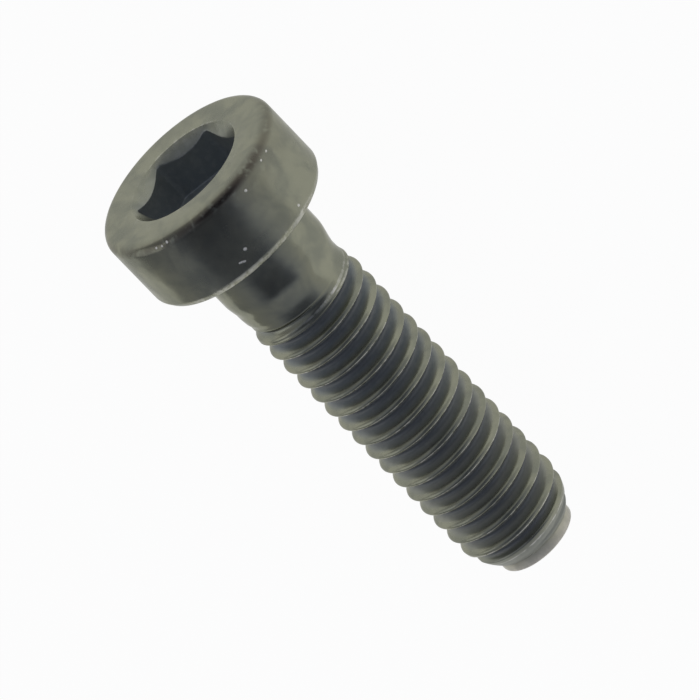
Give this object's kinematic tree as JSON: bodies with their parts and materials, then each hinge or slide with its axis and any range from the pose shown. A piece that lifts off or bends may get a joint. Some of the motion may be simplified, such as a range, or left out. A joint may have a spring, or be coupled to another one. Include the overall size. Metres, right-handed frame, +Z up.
{
  "type": "hex socket cap screw",
  "caption": "Low-head hexagon socket cap screw with a metric thread, a short plain neck and a pilot point, lying on its side.",
  "frame": {"origin": "on the ground, under the middle of the box of the screw as it lies at rest", "axes": "+Z up; the screw's axis lies in the XZ plane, from the head at -X to the point at +X, and slopes 5.70 degrees down towards the point"},
  "size_m": [0.0264, 0.0098, 0.0101],
  "materials": {
    "black_oxide_steel": "oiled black oxide on forged and rolled steel, satin, worn thin along the thread's crests"
  },
  "bodies": {
    "root": {"screw": "black_oxide_steel"}
  },
  "joints": []
}
